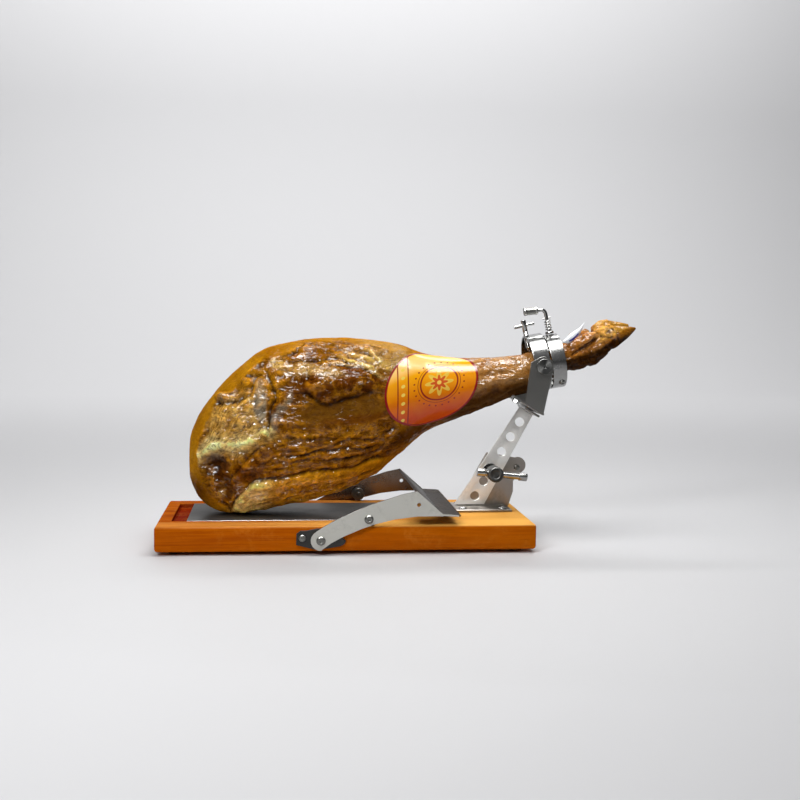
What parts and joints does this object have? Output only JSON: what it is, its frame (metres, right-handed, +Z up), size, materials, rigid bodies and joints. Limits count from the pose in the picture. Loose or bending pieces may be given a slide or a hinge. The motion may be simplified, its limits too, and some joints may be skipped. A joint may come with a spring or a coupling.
{
  "type": "cured ham in a carving stand",
  "caption": "Whole cured ham with hoof, clamped by the shank in a wood and steel carving stand with a swinging rest and a plain oval label.",
  "frame": {"origin": "centre of the whole object's box, on the surface its feet stand on", "axes": "+X along the ham and board towards the hoof, +Z up, -Y the side that the clamp handle faces"},
  "size_m": [0.6864, 0.233, 0.3414],
  "materials": {
    "ham_rind": "oily cured rind and dried meat, amber to brown, glossy",
    "label_paper": "glossy printed oval label, yellow to orange with dark red lines",
    "tag_paper": "white tag with one blue stripe",
    "board_wood": "orange-brown varnished hardwood",
    "tray_steel": "smooth rolled sheet, softly mirroring",
    "satin_steel": "fine brushed satin",
    "polished_steel": "turned and polished steel",
    "hinge_black": "semi-gloss black paint",
    "grip_black": "dark burnished steel sleeve",
    "foot_rubber": "matt black"
  },
  "bodies": {
    "stand": {"bar_head": "satin_steel", "base_bracket": "satin_steel", "base_screw_1": "polished_steel", "base_screw_2": "polished_steel", "base_screw_3": "polished_steel", "base_screw_4": "polished_steel", "board": "board_wood", "clamp_washer": "polished_steel", "ear_bolt": "polished_steel", "foot_1": "foot_rubber", "foot_2": "foot_rubber", "foot_3": "foot_rubber", "foot_4": "foot_rubber", "ham": "ham_rind", "hinge_plate_back": "hinge_black", "hinge_plate_front": "hinge_black", "hinge_screw_back": "polished_steel", "hinge_screw_front": "polished_steel", "label": "label_paper", "pivot_bolt_back": "polished_steel", "pivot_bolt_front": "polished_steel", "plunger_collar": "polished_steel", "plunger_grip": "grip_black", "plunger_pin": "polished_steel", "plunger_rod": "polished_steel", "plunger_spring": "polished_steel", "ring_left": "satin_steel", "ring_right": "satin_steel", "ring_screw": "polished_steel", "ring_spacer_1": "polished_steel", "ring_spacer_2": "polished_steel", "ring_spacer_3": "polished_steel", "tag": "tag_paper", "tower_bar": "satin_steel", "tray_plate": "tray_steel", "yoke": "satin_steel", "yoke_bolt_back": "polished_steel", "yoke_bolt_front": "polished_steel", "yoke_nut": "polished_steel"},
    "rest": {"rest_cradle": "satin_steel", "stop_bolt_front": "polished_steel", "stop_bolt_back": "polished_steel", "stop_sleeve_front": "polished_steel", "stop_sleeve_back": "polished_steel"},
    "clamp_knob": {"clamp_knob": "polished_steel", "clamp_handle": "polished_steel"},
    "clamp_screw": {"clamp_screw": "polished_steel", "clamp_bar": "polished_steel"}
  },
  "joints": [
    {"name": "rest_swing", "type": "hinge", "parent": "stand", "child": "rest", "pos_m": [-0.121, 0, 0.0209], "axis": [0, -1, 0], "range_deg": [0, 12]},
    {"name": "knob_turn", "type": "hinge", "parent": "stand", "child": "clamp_knob", "pos_m": [0.13557, -0.008, 0.09629], "axis": [0, -1, 0], "range_deg": [-40, 200]},
    {"name": "screw_turn", "type": "hinge", "parent": "stand", "child": "clamp_screw", "pos_m": [0.1756, 0.006, 0.3205], "axis": [-0.225, 0, 0.9744], "range_deg": [0, 180]}
  ]
}
